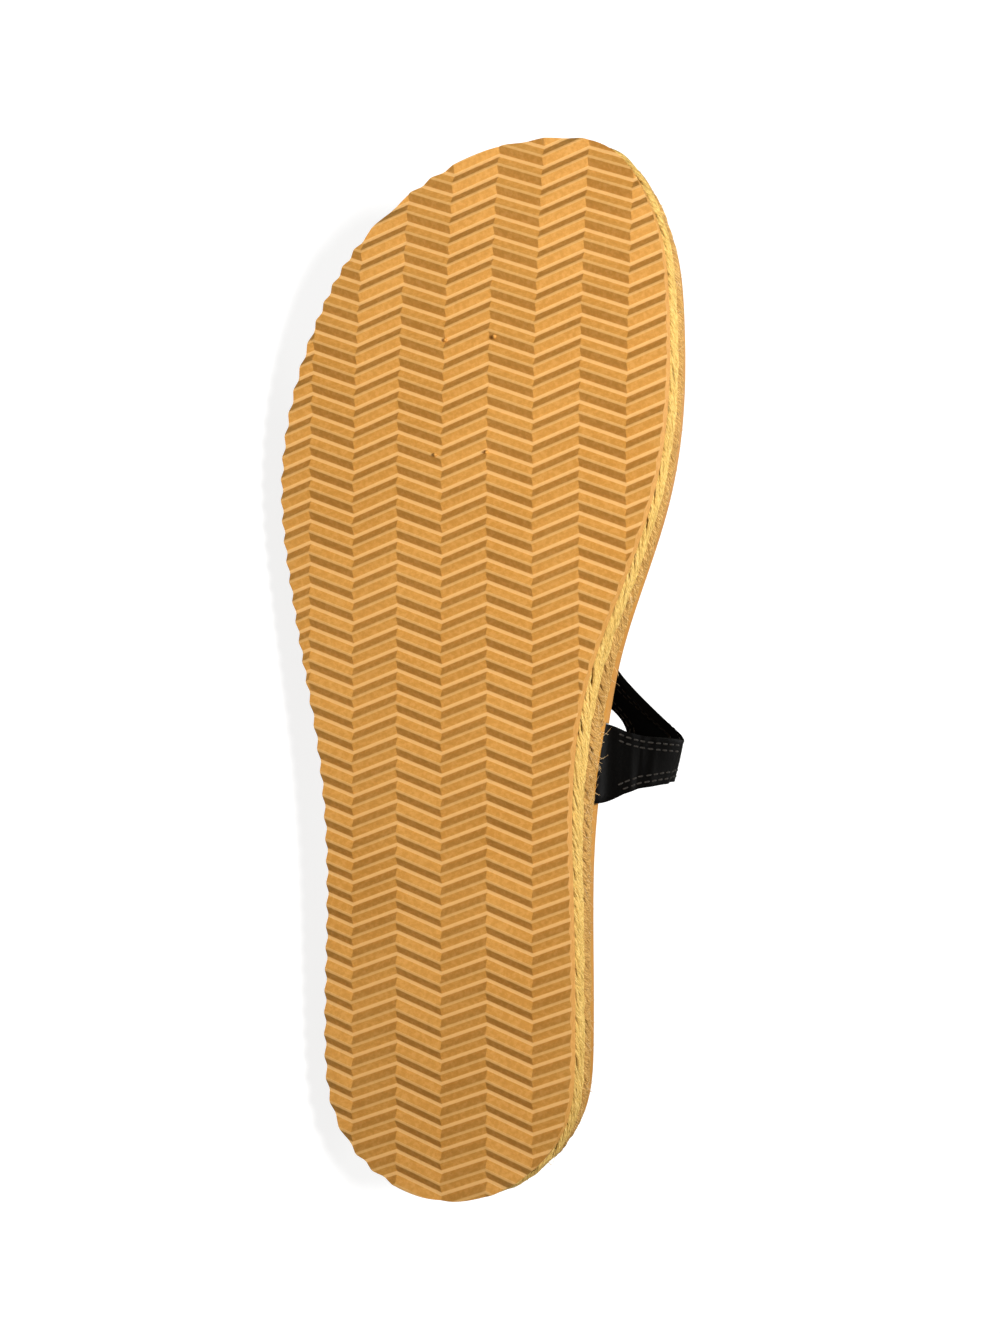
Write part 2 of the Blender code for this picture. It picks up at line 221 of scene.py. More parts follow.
def new_object(name, points, faces):
    """Mesh object of these points and faces, linked to the scene."""
    mesh = bpy.data.meshes.new(name)
    faces = faces.tolist() if isinstance(faces, np.ndarray) else faces
    mesh.from_pydata(np.asarray(points, float).tolist(), [], faces)
    mesh.update()
    thing = bpy.data.objects.new(name, mesh)
    bpy.context.scene.collection.objects.link(thing)
    return thing


def cut_shape(body, cuts):
    """Body after each cutter has been applied to it, as points and triangles; all of them are removed.

    Points that the cuts leave closer than the weld's distance become one.
    """
    for cutter, operation in cuts:
        cut = body.modifiers.new("cut", "BOOLEAN")
        cut.operation = operation
        cut.solver = "EXACT"
        cut.object = cutter
    weld = body.modifiers.new("weld", "WELD")
    weld.merge_threshold = WELD_WITHIN
    split = body.modifiers.new("triangles", "TRIANGULATE")
    split.ngon_method = "BEAUTY"
    bpy.context.view_layer.update()
    shape = body.evaluated_get(bpy.context.evaluated_depsgraph_get())
    mesh = shape.to_mesh()
    mesh.calc_loop_triangles()
    points = np.empty(len(mesh.vertices) * 3)
    mesh.vertices.foreach_get("co", points)
    triangles = np.empty(len(mesh.loop_triangles) * 3, int)
    mesh.loop_triangles.foreach_get("vertices", triangles)
    shape.to_mesh_clear()
    for thing in [body] + [cutter for cutter, operation in cuts]:
        bpy.data.objects.remove(thing)
    return points.reshape(-1, 3), triangles.reshape(-1, 3)


def add_attribute(thing, name, values):
    """One number for each point of the mesh, under a name that the material reads."""
    attribute = thing.data.attributes.new(name, "FLOAT", "POINT")
    attribute.data.foreach_set("value", np.asarray(values, float).ravel())


def dress(thing, material, slot, *nodes):
    """Gives a piece its finish, lets it ride on the shoe and hides the solids that it stands for."""
    thing.data.materials.append(material)
    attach(thing, "root")
    if nodes:
        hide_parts(*nodes)


def round_edges(thing, degrees):
    """Smooth shading that breaks where two faces meet at more than this angle."""
    thing.data.shade_smooth()
    thing.data.set_sharp_from_angle(angle=np.radians(degrees))


class Socket:
    """An output of a material's node: operators on values add Math nodes, node() adds any other."""

    def __init__(self, material, output=None):
        self.material = material
        self.tree = material.node_tree
        self.output = output

    def node(self, kind, sockets, settings=(), out=0):
        """Adds a node of this kind: its settings first, then a value or a link for each named socket."""
        made = self.tree.nodes.new(kind)
        for name, value in dict(settings).items():
            setattr(made, name, value)
        for name, value in sockets.items():
            if isinstance(value, Socket):
                self.tree.links.new(value.output, made.inputs[name])
            else:
                made.inputs[name].default_value = value
        return Socket(self.material, made.outputs[out])

    def math(self, operation, first, second, clamp=False):
        """A Math node on two values; clamp keeps the result between 0 and 1."""
        settings = {"operation": operation, "use_clamp": clamp}
        return self.node("ShaderNodeMath", {0: first, 1: second}, settings)

    def __add__(self, other):
        return self.math("ADD", self, other)

    def __sub__(self, other):
        return self.math("SUBTRACT", self, other)

    def __rsub__(self, other):
        return self.math("SUBTRACT", other, self)

    def __mul__(self, other):
        return self.math("MULTIPLY", self, other)

    __radd__ = __add__
    __rmul__ = __mul__

    def held(self):
        """The value kept between 0 and 1."""
        return self.math("ADD", self, 0.0, clamp=True)

    def between(self, low, high):
        """Smooth step of the value from 0 at low to 1 at high."""
        return self.node(
            "ShaderNodeMapRange",
            {"Value": self, "From Min": low, "From Max": high},
            {"interpolation_type": "SMOOTHSTEP"},
        )

    def blend(self, first, second):
        """First colour where the value is 0, second where it is 1."""
        first = (*first, 1.0) if isinstance(first, tuple) else first
        second = (*second, 1.0) if isinstance(second, tuple) else second
        return self.node("ShaderNodeMix", {0: self, 6: first, 7: second}, {"data_type": "RGBA"}, 2)

    def noise(self, scale, detail=3.0, roughness=0.55, place=None):
        """Cloudy noise on the object's own metres, or on another place."""
        place = place or self.node("ShaderNodeTexCoord", {}, out="Object")
        return self.node(
            "ShaderNodeTexNoise", {"Vector": place, "Scale": scale, "Detail": detail, "Roughness": roughness}
        )

    def attribute(self, name):
        """The number that the mesh carries at each point under this name."""
        return self.node("ShaderNodeAttribute", {}, {"attribute_name": name}, "Fac")

    def bump(self, height, strength, depth):
        """Normal tilted by the slope of a height, which is depth metres for each unit."""
        return self.node("ShaderNodeBump", {"Height": height, "Strength": strength, "Distance": depth})


def new_finish(colour, roughness, bump=None, **constants):
    """Material with colour, roughness and bump from sockets, and the shader's other numbers as constants."""
    shader = colour.tree.nodes["Principled BSDF"]
    for socket, value in {"Base Color": colour, "Roughness": roughness, "Normal": bump}.items():
        if value is not None:
            colour.tree.links.new(value.output, shader.inputs[socket])
    for socket, value in constants.items():
        shader.inputs[socket.replace("_", " ")].default_value = value
    return colour.material


def new_tree(name):
    """A new material's own socket, from which its nodes are made."""
    material = bpy.data.materials.new(name)
    material.use_nodes = True
    return Socket(material)


one_side = np.vstack((CREST_ROUND, np.array((RIDGE_PITCH / 2, RIDGE_DEPTH)) - VALLEY_ROUND))
ridge = np.vstack((one_side[::-1] * (-1.0, 1.0), one_side))
crest_x = FIRST_CREST + RIDGE_PITCH * np.arange(RIDGE_COUNT)
section_x = (crest_x[:, None] + ridge[:, 0]).ravel()
section_z = np.tile(ridge[:, 1], RIDGE_COUNT)
back_x = np.linspace(section_x[-1], section_x[0], RIDGE_COUNT + 1)
loop_x = np.concatenate((section_x, back_x))
loop_z = np.concatenate((section_z, np.full(len(back_x), OUTSOLE_TOP)))
sheet_x = loop_x[:, None] + zigzag_x
sheet_points = np.stack(
    (sheet_x, np.broadcast_to(zigzag_y, sheet_x.shape), loop_z[:, None] + rise(sheet_x)), axis=2
)
rows, columns = sheet_x.shape
corner = np.arange(rows)[:, None] * columns + np.arange(columns - 1)
corner_next = np.roll(corner, -1, axis=0)
sheet_faces = np.stack((corner + 1, corner_next + 1, corner_next, corner), axis=2).reshape(-1, 4).tolist()
lateral_end = np.arange(rows) * columns
sheet_faces.append(lateral_end.tolist())
sheet_faces.append((lateral_end + columns - 1).tolist()[::-1])
rubber_sheet = new_object("rubber_sheet", sheet_points.reshape(-1, 3), sheet_faces)
outline_block = new_object("outline_block", *plate(BLOCK_LEVELS, BLOCK_POINTS, bent=False))
points, triangles = cut_shape(rubber_sheet, ((outline_block, "INTERSECT"),))
outsole = new_object("ridged_outsole", laid(points), triangles)
# The finish reads how high a point is on its ridge: 1 on a crest, 0 in a valley.
depth = (points[:, 2] - rise(points[:, 0])) / RIDGE_DEPTH
add_attribute(outsole, "lift", np.where(depth > GROOVE_END, PLAIN_LIFT, 1.0 - np.clip(depth, 0.0, 1.0)))
round_edges(outsole, RIDGE_ANGLE)

rubber = new_tree("tan_rubber")
lift = rubber.attribute("lift")
# Painted highlight: a bright line in each valley and a fainter one on each crest, where light catches the
# ridges.
painted_highlight_line = (lift.between(0.93, 0.985) * 0.6 + (1.0 - lift.between(0.012, 0.07))).held()
cloud = rubber.noise(38.0)
speckle = rubber.noise(2600.0, 2.0)
mottle = rubber.noise(850.0, 3.0, 0.65)
tan = cloud.between(0.3, 0.7).blend(*RUBBER_TANS)
tan = (speckle.between(0.55, 0.8) * 0.35).blend(tan, RUBBER_SPECK)
tan = (mottle.between(0.42, 0.68) * 0.3).blend(tan, RUBBER_DARK)
tan = ((1.0 - mottle.between(0.32, 0.55)) * 0.3).blend(tan, RUBBER_LIGHT)
tan = (painted_highlight_line * 0.85).blend(tan, RUBBER_HIGHLIGHT)
rubber_look = new_finish(
    tan,
    0.5 + cloud * 0.25,
    rubber.bump(speckle + mottle * 0.8, 0.4, 0.0002),
    Specular_IOR_Level=0.3,
)
dress(outsole, rubber_look, "tan_rubber", "outsole")

# Moulding pips
# Four small stubs of the same rubber that the mould leaves on the tread, in a square under the front of
# the foot. Each is a low dome whose foot is a little inside the tread.
PIP_PLACES = np.array(((177.6, -2.3), (177.9, 10.2), (205.7, -0.9), (205.7, 11.7)))
PIP_RADIUS = 0.55
PIP_HEIGHT = 0.75
PIP_SINK = 0.1
PIP_RINGS = 6
PIP_SIDES = 12
DOME_END = 0.47 * np.pi

pip_x = PIP_PLACES[:, 0] - np.interp(PIP_PLACES[:, 1], zigzag_y, zigzag_x)
pip_level = np.interp(pip_x, section_x, section_z) + rise(PIP_PLACES[:, 0]) + PIP_SINK
pip_root = np.column_stack((PIP_PLACES, pip_level))
dome_angle = np.linspace(0.0, DOME_END, PIP_RINGS)[:, None]
dome_turn = np.linspace(0.0, 2.0 * np.pi, PIP_SIDES, endpoint=False)[None, :]
dome = np.stack((
    PIP_RADIUS * np.cos(dome_angle) * np.cos(dome_turn),
    PIP_RADIUS * np.cos(dome_angle) * np.sin(dome_turn),
    np.broadcast_to(-PIP_HEIGHT * np.sin(dome_angle), (PIP_RINGS, PIP_SIDES)),
), axis=2)
pip_points = (pip_root[:, None, None] + dome).reshape(-1, 3)
ring = np.arange(len(pip_points)).reshape(-1, PIP_RINGS, PIP_SIDES)
ring_next = np.roll(ring, -1, axis=2)
pip_faces = np.stack((ring[:, :-1], ring[:, 1:], ring_next[:, 1:], ring_next[:, :-1]), axis=3).reshape(-1, 4)
pip_caps = np.concatenate((ring[:, 0], ring[:, -1, ::-1]))
pips = new_object("moulding_pips", laid(pip_points), pip_faces.tolist() + pip_caps.tolist())
pips.data.shade_smooth()
add_attribute(pips, "lift", np.full(len(pip_points), PLAIN_LIFT))
dress(pips, rubber_look, "tan_rubber")

# Lower braid
# A golden jute cord glued edge-up round the sole on top of the outsole: a dozen thin yarns that lie almost
# along the edge and wind slowly round each other. Coiled jute fills the middle of the sole.
GOLD_LEVEL = 8.4
GOLD_CORE = ((5.3, -1.2), (5.6, -0.6), (11.2, -0.6), (11.5, -1.2))
GOLD_YARNS = 12
GOLD_TURNS = 17
GOLD_RADIUS = 0.52
GOLD_SAMPLES = 680
GOLD_SEED = 11
GOLD_TWIST = 0.9
GOLD_TONES = ((0.40, 0.225, 0.035), (0.86, 0.56, 0.145), (0.97, 0.80, 0.34))
CORE_POINTS = 192
CORD_OUT = -0.2
CORD_HALF_OUT = 0.8
CORD_HALF_UP = 2.55
ELLIPSE_STEPS = 720
YARN_SIDES = 6
YARN_WAVES = (20, 90)
YARN_SHIFT = 0.28
YARN_SWELL = 0.16
YARN_STRAY = 0.12


def ring_tube(path, side_way, radius, sides):
    """Closed tube: a circle carried round a closed path.

    Its first point lies against side_way, so that the seam is out of sight. Returns points, faces and the
    angle round the tube.
    """
    ahead = unit(np.roll(path, -1, axis=0) - np.roll(path, 1, axis=0))
    side = unit(side_way - (side_way * ahead).sum(axis=1, keepdims=True) * ahead)
    face = np.cross(ahead, side)
    angle = np.pi + np.linspace(0.0, 2.0 * np.pi, sides, endpoint=False)
    round_way = np.cos(angle)[:, None] * side[:, None] + np.sin(angle)[:, None] * face[:, None]
    points = path[:, None] + radius[:, None, None] * round_way
    first = np.arange(len(path))[:, None] * sides + np.arange(sides)
    around = np.roll(first, -1, axis=1)
    faces = np.stack((first, around, np.roll(around, -1, axis=0), np.roll(first, -1, axis=0)), axis=2)
    return points.reshape(-1, 3), faces.reshape(-1, 4), np.tile(angle, len(path))


def along_row(run, out, level):
    """Points round the sole at a height that follows the toe spring, and the way out at each."""
    place, way = along_edge(run, out, level)
    way = np.column_stack((way, np.zeros(len(way))))
    return np.column_stack((place, level + rise(place[:, 0]))), way


def cord(level, yarns, turns, radius, samples, seed):
    """Yarns wound into a cord that goes once round the sole.

    Each yarn runs round an upright ellipse at an even pace while it goes along the edge. Slow waves of its
    own shift it by a part of the pace, swell it by a part of the radius and carry it in and out. Returns
    points, faces and, for each point, the distance along the edge, the angle round the yarn and a tone for
    the yarn.
    """
    random = np.random.default_rng(seed)
    fine = np.linspace(0.0, 2.0 * np.pi, ELLIPSE_STEPS + 1)
    step = np.hypot(np.diff(CORD_HALF_OUT * np.cos(fine)), np.diff(CORD_HALF_UP * np.sin(fine)))
    pace = np.concatenate(((0.0,), np.cumsum(step))) / step.sum()
    share = np.linspace(0.0, 1.0, samples, endpoint=False)
    parts = []
    for yarn in range(yarns):
        waves = random.integers(*YARN_WAVES, 3)
        shift, swell, stray = np.sin(2.0 * np.pi * (share[:, None] * waves + random.random(3))).T
        at = np.mod(turns * share + (yarn + YARN_SHIFT * shift) / yarns, 1.0)
        angle = np.interp(at, pace, fine)
        size = radius * (1.0 + YARN_SWELL * swell)
        middle, way = along_row(
            share * EDGE_LENGTH,
            CORD_OUT + CORD_HALF_OUT * np.cos(angle) + YARN_STRAY * stray,
            level + CORD_HALF_UP * np.sin(angle),
        )
        points, faces, around = ring_tube(middle, way, size, YARN_SIDES)
        along = np.repeat(share * EDGE_LENGTH, YARN_SIDES)
        tone = np.full(len(points), random.random())
        parts.append((points, faces + yarn * len(points), along, around, tone))
    return [np.concatenate(column) for column in zip(*parts)]


def cord_object(name, core, winding):
    """The wound yarns and the flat core inside them as one mesh, with the values that the finish reads."""
    core_points, core_faces = plate(core, CORE_POINTS)
    points, faces, along, around, tone = winding
    wound = [[k + len(core_points) for k in face] for face in faces.tolist()]
    thing = new_object(name, laid(np.vstack((core_points, points))), core_faces + wound)
    blank = np.zeros(len(core_points))
    for attribute, values in (("along", along), ("around", around), ("tone", tone)):
        add_attribute(thing, attribute, np.concatenate((blank, values)))
    thing.data.shade_smooth()
    return thing


def jute_finish(name, dark, middle, light, twist):
    """Jute: fibres drawn out along each yarn and wound round it, a tone for each yarn and slow patches."""
    tree = new_tree(name)
    along, around, tone = (tree.attribute(key) for key in ("along", "around", "tone"))
    wound = around + along * twist
    place = tree.node("ShaderNodeCombineXYZ", {"X": along * 0.35, "Y": wound * 1.6, "Z": tone * 40.0})
    fibre = tree.noise(1.9, 4.0, 0.65, place)
    strand = tree.math("SINE", wound * 5.0, 0.0) * 0.5 + 0.5
    patch = tree.noise(110.0)
    straw = fibre.between(0.32, 0.62).blend(dark, middle)
    straw = (fibre.between(0.5, 0.75) * (0.35 + tone * 0.6)).held().blend(straw, light)
    straw = (patch.between(0.45, 0.75) * 0.35).blend(straw, dark)
    height = fibre + strand * 0.35
    return new_finish(straw, 0.6 + fibre * 0.3, tree.bump(height, 0.7, 0.00035))


gold_winding = cord(GOLD_LEVEL, GOLD_YARNS, GOLD_TURNS, GOLD_RADIUS, GOLD_SAMPLES, GOLD_SEED)
golden_braid = cord_object("golden_braid", GOLD_CORE, gold_winding)
gold_look = jute_finish("golden_jute", *GOLD_TONES, GOLD_TWIST)
dress(golden_braid, gold_look, "golden_jute", "lower_braid")

# Upper braid
# A tan jute cord of ten yarns, twisted more tightly and glued round the sole on top of the golden one.
# It too has coiled jute inside it.
TAN_LEVEL = 14.9
TAN_CORE = ((11.8, -1.2), (12.1, -0.6), (17.7, -0.6), (18.0, -1.2))
TAN_YARNS = 10
TAN_TURNS = 44
TAN_RADIUS = 0.56
TAN_SAMPLES = 1144
TAN_SEED = 12
TAN_TWIST = 1.4
TAN_TONES = ((0.30, 0.14, 0.02), (0.66, 0.37, 0.088), (0.90, 0.64, 0.27))

tan_winding = cord(TAN_LEVEL, TAN_YARNS, TAN_TURNS, TAN_RADIUS, TAN_SAMPLES, TAN_SEED)
tan_rope = cord_object("tan_rope", TAN_CORE, tan_winding)
tan_look = jute_finish("tan_jute", *TAN_TONES, TAN_TWIST)
dress(tan_rope, tan_look, "tan_jute", "upper_braid")

# Fuzz
# Loose ends of jute that stand out of the tan cord all round the sole. One in four belongs to a tuft, and
# the largest tuft is by the instep band's medial end.
HAIR_COUNT = 420
HAIR_JOINTS = 5
HAIR_SIDES = 3
HAIR_SEED = 5
HAIR_LEVELS = (-3.6, 2.2)
HAIR_LENGTHS = (1.0, 3.4)
HAIR_OUT = 0.7
HAIR_RADIUS = 0.07
HAIR_TAPER = 0.6
HAIR_STAND = 0.55
HAIR_LIFT = 0.6
HAIR_DROOP = 0.35
HAIR_CURL = 0.45
FUZZ_TONES = ((0.62, 0.38, 0.14), (0.88, 0.66, 0.36))
TUFT_EVERY = 4
TUFTS = np.array((
    # x, y, spread along the edge
    (104.0, 31.5, 9.0),
    (104.0, 31.5, 9.0),
    (105.0, -32.3, 2.0),
    (64.0, -30.0, 1.5),
))

random = np.random.default_rng(HAIR_SEED)
tuft_away = np.hypot(edge_fine[:, 0] - TUFTS[:, :1], edge_fine[:, 1] - TUFTS[:, 1:2])
hair = np.arange(HAIR_COUNT)
tuft = hair // TUFT_EVERY % len(TUFTS)
hair_run = np.where(
    hair % TUFT_EVERY == 0,
    edge_run[np.argmin(tuft_away, axis=1)][tuft] + TUFTS[tuft, 2] * random.normal(0.0, 1.0, HAIR_COUNT),
    random.random(HAIR_COUNT) * EDGE_LENGTH,
)
hair_level = TAN_LEVEL + random.uniform(*HAIR_LEVELS, HAIR_COUNT)
hair_root, hair_out = along_row(hair_run, np.full(HAIR_COUNT, HAIR_OUT), hair_level)
hair_along = np.column_stack((-hair_out[:, 1], hair_out[:, 0], np.zeros(HAIR_COUNT)))
upright = np.array((0.0, 0.0, 1.0))
lean_along, lean_up, bend_along, bend_up = random.uniform(-1.0, 1.0, (4, HAIR_COUNT, 1))
hair_length = random.uniform(*HAIR_LENGTHS, (HAIR_COUNT, 1))
hair_lean = HAIR_STAND * hair_out + lean_along * hair_along + HAIR_LIFT * lean_up * upright
hair_way = unit(hair_lean) * hair_length
hair_pull = bend_along * hair_along + bend_up * upright - HAIR_DROOP * hair_out
hair_bend = hair_pull * hair_length * HAIR_CURL
reach = np.linspace(0.0, 1.0, HAIR_JOINTS)[None, :, None]
hair_path = hair_root[:, None] + reach * hair_way[:, None] + reach**2 * hair_bend[:, None]
hair_side = unit(np.cross(hair_way, upright))[:, None, None]
hair_face = unit(np.cross(hair_way, hair_side[:, 0, 0]))[:, None, None]
turn = (np.arange(HAIR_SIDES) * 2.0 * np.pi / HAIR_SIDES)[None, None, :, None]
hair_round = np.cos(turn) * hair_side + np.sin(turn) * hair_face
hair_points = hair_path[:, :, None] + HAIR_RADIUS * (1.0 - HAIR_TAPER * reach[..., None]) * hair_round
ring = np.arange(HAIR_COUNT * HAIR_JOINTS * HAIR_SIDES).reshape(HAIR_COUNT, HAIR_JOINTS, HAIR_SIDES)
ring_next = np.roll(ring, -1, axis=2)
hair_faces = np.stack((ring[:, :-1], ring_next[:, :-1], ring_next[:, 1:], ring[:, 1:]), axis=3)
hair_ends = np.concatenate((ring[:, 0, ::-1], ring[:, -1]))
fuzz = new_object(
    "jute_fuzz", laid(hair_points.reshape(-1, 3)), hair_faces.reshape(-1, 4).tolist() + hair_ends.tolist()
)
fuzz.data.shade_smooth()
fuzz_tree = new_tree("jute_fuzz")
fuzz_look = new_finish(fuzz_tree.noise(400.0).blend(*FUZZ_TONES), None, Roughness=0.7)
dress(fuzz, fuzz_look, "tan_jute")

# Straps
# Black leather, turned at the edges and sewn: an instep band over the foot, a toe strap that leaves the
# band's toe-side edge, and a loop round the big toe. The three are one thin piece, 2 mm through.
STRAP_THICK = 2.0
TOE_STRAP_HALF = 5.2
CORNER_RADIUS = 3.6
JUNCTION_ROLL = 62.0
JUNCTION_BLEND = 9.0
SLANT_RUN = 16.0
ROOT_EASE = 14.0
ROOT_PASSES = 120
EASE_SHARE = 0.5
# distances of the toe strap's first rows from a junction
ROOT_ROWS = np.array((0.0, 0.55, 1.1, 1.65, 2.2, 2.8, 3.4, 4.2, 5.0, 6.1, 7.2, 8.8))
MIDDLE_START = 10.5
MIDDLE_ROWS = 46
TURNED_EDGE = 0.75
TURNED_SEGMENTS = 3
TURNED_ANGLE = 60
LEATHER_BLACKS = ((0.0008, 0.0007, 0.0006), (0.0026, 0.0021, 0.0016))
BAND = np.array((
    # x, y, z, half width, slant of the width towards Y
    (126.0, -25.0, 19.8, 7.5, -0.19),
    (126.0, -31.6, 19.6, 7.5, -0.19),
    (126.0, -34.7, 20.5, 7.5, -0.19),
    (126.0, -35.4, 23.6, 7.4, -0.15),
    (125.6, -32.3, 30.0, 7.2, -0.09),
    (125.0, -27.2, 40.0, 7.0, -0.09),
    (122.6, -19.6, 53.0, 6.8, -0.08),
    (116.4, -6.5, 63.5, 6.6, 0.0),
    (108.8, 12.0, 67.0, 6.2, 0.0),
    (103.8, 28.5, 64.0, 5.8, 0.0),
    (103.3, 41.0, 56.0, 5.4, 0.12),
    (103.6, 47.0, 45.5, 5.4, 0.25),
    (103.6, 44.0, 35.0, 6.0, 0.12),
    (103.6, 37.5, 25.5, 7.8, 0.03),
    (103.6, 33.6, 20.8, 9.7, 0.05),
    (103.6, 30.0, 19.6, 10.0, 0.06),
    (103.6, 22.5, 19.8, 10.0, 0.06),
))
TOE_STRAP = np.array((
    # x, y, z, roll of the width below level in degrees
    (113.0, 37.7, 58.1, 57.0),
    (117.5, 31.5, 60.8, 47.0),
    (123.0, 25.1, 63.4, 34.0),
    (131.2, 19.5, 65.0, 18.0),
    (147.0, 17.7, 64.4, 4.0),
    (170.0, 24.2, 60.6, 0.0),
    (190.0, 31.4, 55.0, 0.0),
))
TOE_LOOP = np.array((
    # x, y, z, half width
    (204.0, 17.5, 21.2, 5.0),
    (204.0, 17.0, 27.0, 5.0),
    (204.0, 18.0, 37.0, 5.2),
    (204.0, 22.5, 47.5, 5.4),
    (204.0, 32.5, 52.6, 5.6),
    (204.0, 42.5, 47.5, 5.4),
    (204.0, 47.0, 37.0, 5.2),
    (204.0, 48.0, 27.0, 5.0),
    (204.0, 47.5, 21.2, 5.0),
))
BAND_STEPS = 12
LOOP_STEPS = 15
BAND_JUNCTION = (110, 132)
LOOP_JUNCTION = (49, 71)
BAND_COLUMNS = 13
LOOP_LEAN = 0.1
LOOP_REACH = 6.0
BAND_CREASES = (
    # row at the heel-side edge, row at the toe-side edge, half width in rows, height in millimetres
    (151.0, 149.5, 1.3, 0.35),
    (154.5, 154.0, 1.2, -0.3),
    (147.0, 146.0, 1.4, -0.2),
    (136.5, 131.0, 1.3, 0.4),
    (140.0, 134.0, 1.6, -0.25),
)


def ribbon(path, half, width_way, columns, square=1.0):
    """Grid of points: each path point spread evenly over its width along width_way.

    square turns a row from width_way itself, at 0, to a right angle with the path, at 1; a slanting row is
    longer, so that the ribbon keeps its width.
    """
    ahead = unit(np.gradient(path, axis=0))
    lean = (width_way * ahead).sum(axis=1, keepdims=True)
    across = unit(width_way - square * lean * ahead)
    reach = half / np.linalg.norm(np.cross(across, ahead), axis=1)
    share = np.linspace(-1.0, 1.0, columns)
    return path[:, None] + reach[:, None, None] * share[None, :, None] * across[:, None]


def strap_corner(distance):
    """Extra half width at this distance from a junction: a quarter circle that leaves the edge."""
    inside = np.clip(CORNER_RADIUS - distance, 0.0, CORNER_RADIUS)
    return CORNER_RADIUS - np.sqrt(CORNER_RADIUS**2 - inside**2)


def strap_grids(grow=0.0, reach=0.0):
    """Point grids of band, loop and toe strap; the strap's end rows are edge points of the other two.

    grow widens all of them, and reach lengthens band and loop, for the slots in the footbed. By the band the
    strap's rows are evened out: each goes part of the way to the middle between its neighbours, many times
    over, by a bell of its distance from the band.
    """
    band_rows, loop_rows = BAND.copy(), TOE_LOOP.copy()
    band_rows[0, 1] += reach
    band_rows[-1, 1] -= reach
    loop_rows[[0, -1], 2] -= LOOP_REACH * reach
    band = smooth_path(band_rows, BAND_STEPS)
    way = np.column_stack((np.ones(len(band)), band[:, 4], np.zeros(len(band))))
    band_grid = ribbon(band[:, :3], band[:, 3] + grow, way, BAND_COLUMNS)
    loop = smooth_path(loop_rows, LOOP_STEPS)
    way = np.tile((1.0, 0.0, LOOP_LEAN), (len(loop), 1))
    loop_grid = ribbon(loop[:, :3], loop[:, 3] + grow, way, BAND_COLUMNS)
    start = band_grid[BAND_JUNCTION[0]:BAND_JUNCTION[1] + 1, -1]
    end = loop_grid[LOOP_JUNCTION[0]:LOOP_JUNCTION[1] + 1, 0]
    across = len(start)
    table = np.vstack(((*start[across // 2], JUNCTION_ROLL), TOE_STRAP, (*end[across // 2], 0.0)))
    path = smooth_path(table, BAND_STEPS)
    run = np.concatenate(((0.0,), np.cumsum(np.linalg.norm(np.diff(path[:, :3], axis=0), axis=1))))
    middle = np.linspace(MIDDLE_START, run[-1] - MIDDLE_START, MIDDLE_ROWS)
    place = np.concatenate((ROOT_ROWS, middle, run[-1] - ROOT_ROWS[::-1]))
    row = np.stack([np.interp(place, run, path[:, k]) for k in range(4)], axis=1)
    half = TOE_STRAP_HALF + grow + strap_corner(place) + strap_corner(run[-1] - place)
    roll = np.radians(row[:, 3])
    way = np.column_stack((np.zeros(len(roll)), np.cos(roll), -np.sin(roll)))
    square = 1.0 - np.exp(-((place / SLANT_RUN) ** 2))[:, None]
    strap_grid = ribbon(row[:, :3], half, way, across, square)
    fade_start = np.exp(-((place / JUNCTION_BLEND) ** 2))[:, None, None]
    fade_end = np.exp(-(((run[-1] - place) / JUNCTION_BLEND) ** 2))[:, None, None]
    strap_grid = strap_grid + fade_start * (start - strap_grid[0]) + fade_end * (end - strap_grid[-1])
    ease = EASE_SHARE * np.exp(-((place[1:-1] / ROOT_EASE) ** 2))[:, None, None]
    for _ in range(ROOT_PASSES):
        strap_grid[1:-1] += ease * (0.5 * (strap_grid[:-2] + strap_grid[2:]) - strap_grid[1:-1])
    return band_grid, loop_grid, strap_grid


def strap_sheet(grids):
    """The three grids as one sheet: the toe strap's end rows are the band's and the loop's own points."""
    band_grid, loop_grid, strap_grid = grids
    across = strap_grid.shape[1]
    band_ids = np.arange(band_grid.shape[0] * BAND_COLUMNS).reshape(-1, BAND_COLUMNS)
    loop_ids = band_ids.size + np.arange(loop_grid.shape[0] * BAND_COLUMNS).reshape(-1, BAND_COLUMNS)
    inner = np.arange((len(strap_grid) - 2) * across).reshape(-1, across) + band_ids.size + loop_ids.size
    strap_ids = np.vstack((
        band_ids[BAND_JUNCTION[0]:BAND_JUNCTION[1] + 1, -1],
        inner,
        loop_ids[LOOP_JUNCTION[0]:LOOP_JUNCTION[1] + 1, 0],
    ))[:, ::-1]
    faces = [
        np.stack((ids[:-1, :-1], ids[:-1, 1:], ids[1:, 1:], ids[1:, :-1]), axis=2).reshape(-1, 4)
        for ids in (band_ids, loop_ids, strap_ids)
    ]
    points = np.vstack([grid.reshape(-1, 3) for grid in (band_grid, loop_grid, strap_grid[1:-1])])
    return points, np.vstack(faces)


def give_thickness(sheet, thick):
    """A wall of this thickness, half of it on each side of the sheet."""
    wall = sheet.modifiers.new("thickness", "SOLIDIFY")
    wall.thickness = thick
    wall.offset = 0.0
    wall.use_quality_normals = True


def grid_normals(grid):
    """Way out of a grid's surface, square to its rows and to its columns."""
    return unit(np.cross(np.gradient(grid, axis=0), np.gradient(grid, axis=1)))


def creased(grid, creases):
    """Grid with shallow creases: each is a bell-shaped ridge along a line that crosses the ribbon.

    The line is given by its row at the first and at the last column, its half width in rows and its height.
    """
    row = np.arange(grid.shape[0])[:, None]
    share = np.linspace(0.0, 1.0, grid.shape[1])[None, :]
    height = sum(
        rise_by * np.exp(-(((row - first - (last - first) * share) / wide) ** 2))
        for first, last, wide, rise_by in creases
    )
    return grid + height[..., None] * grid_normals(grid)


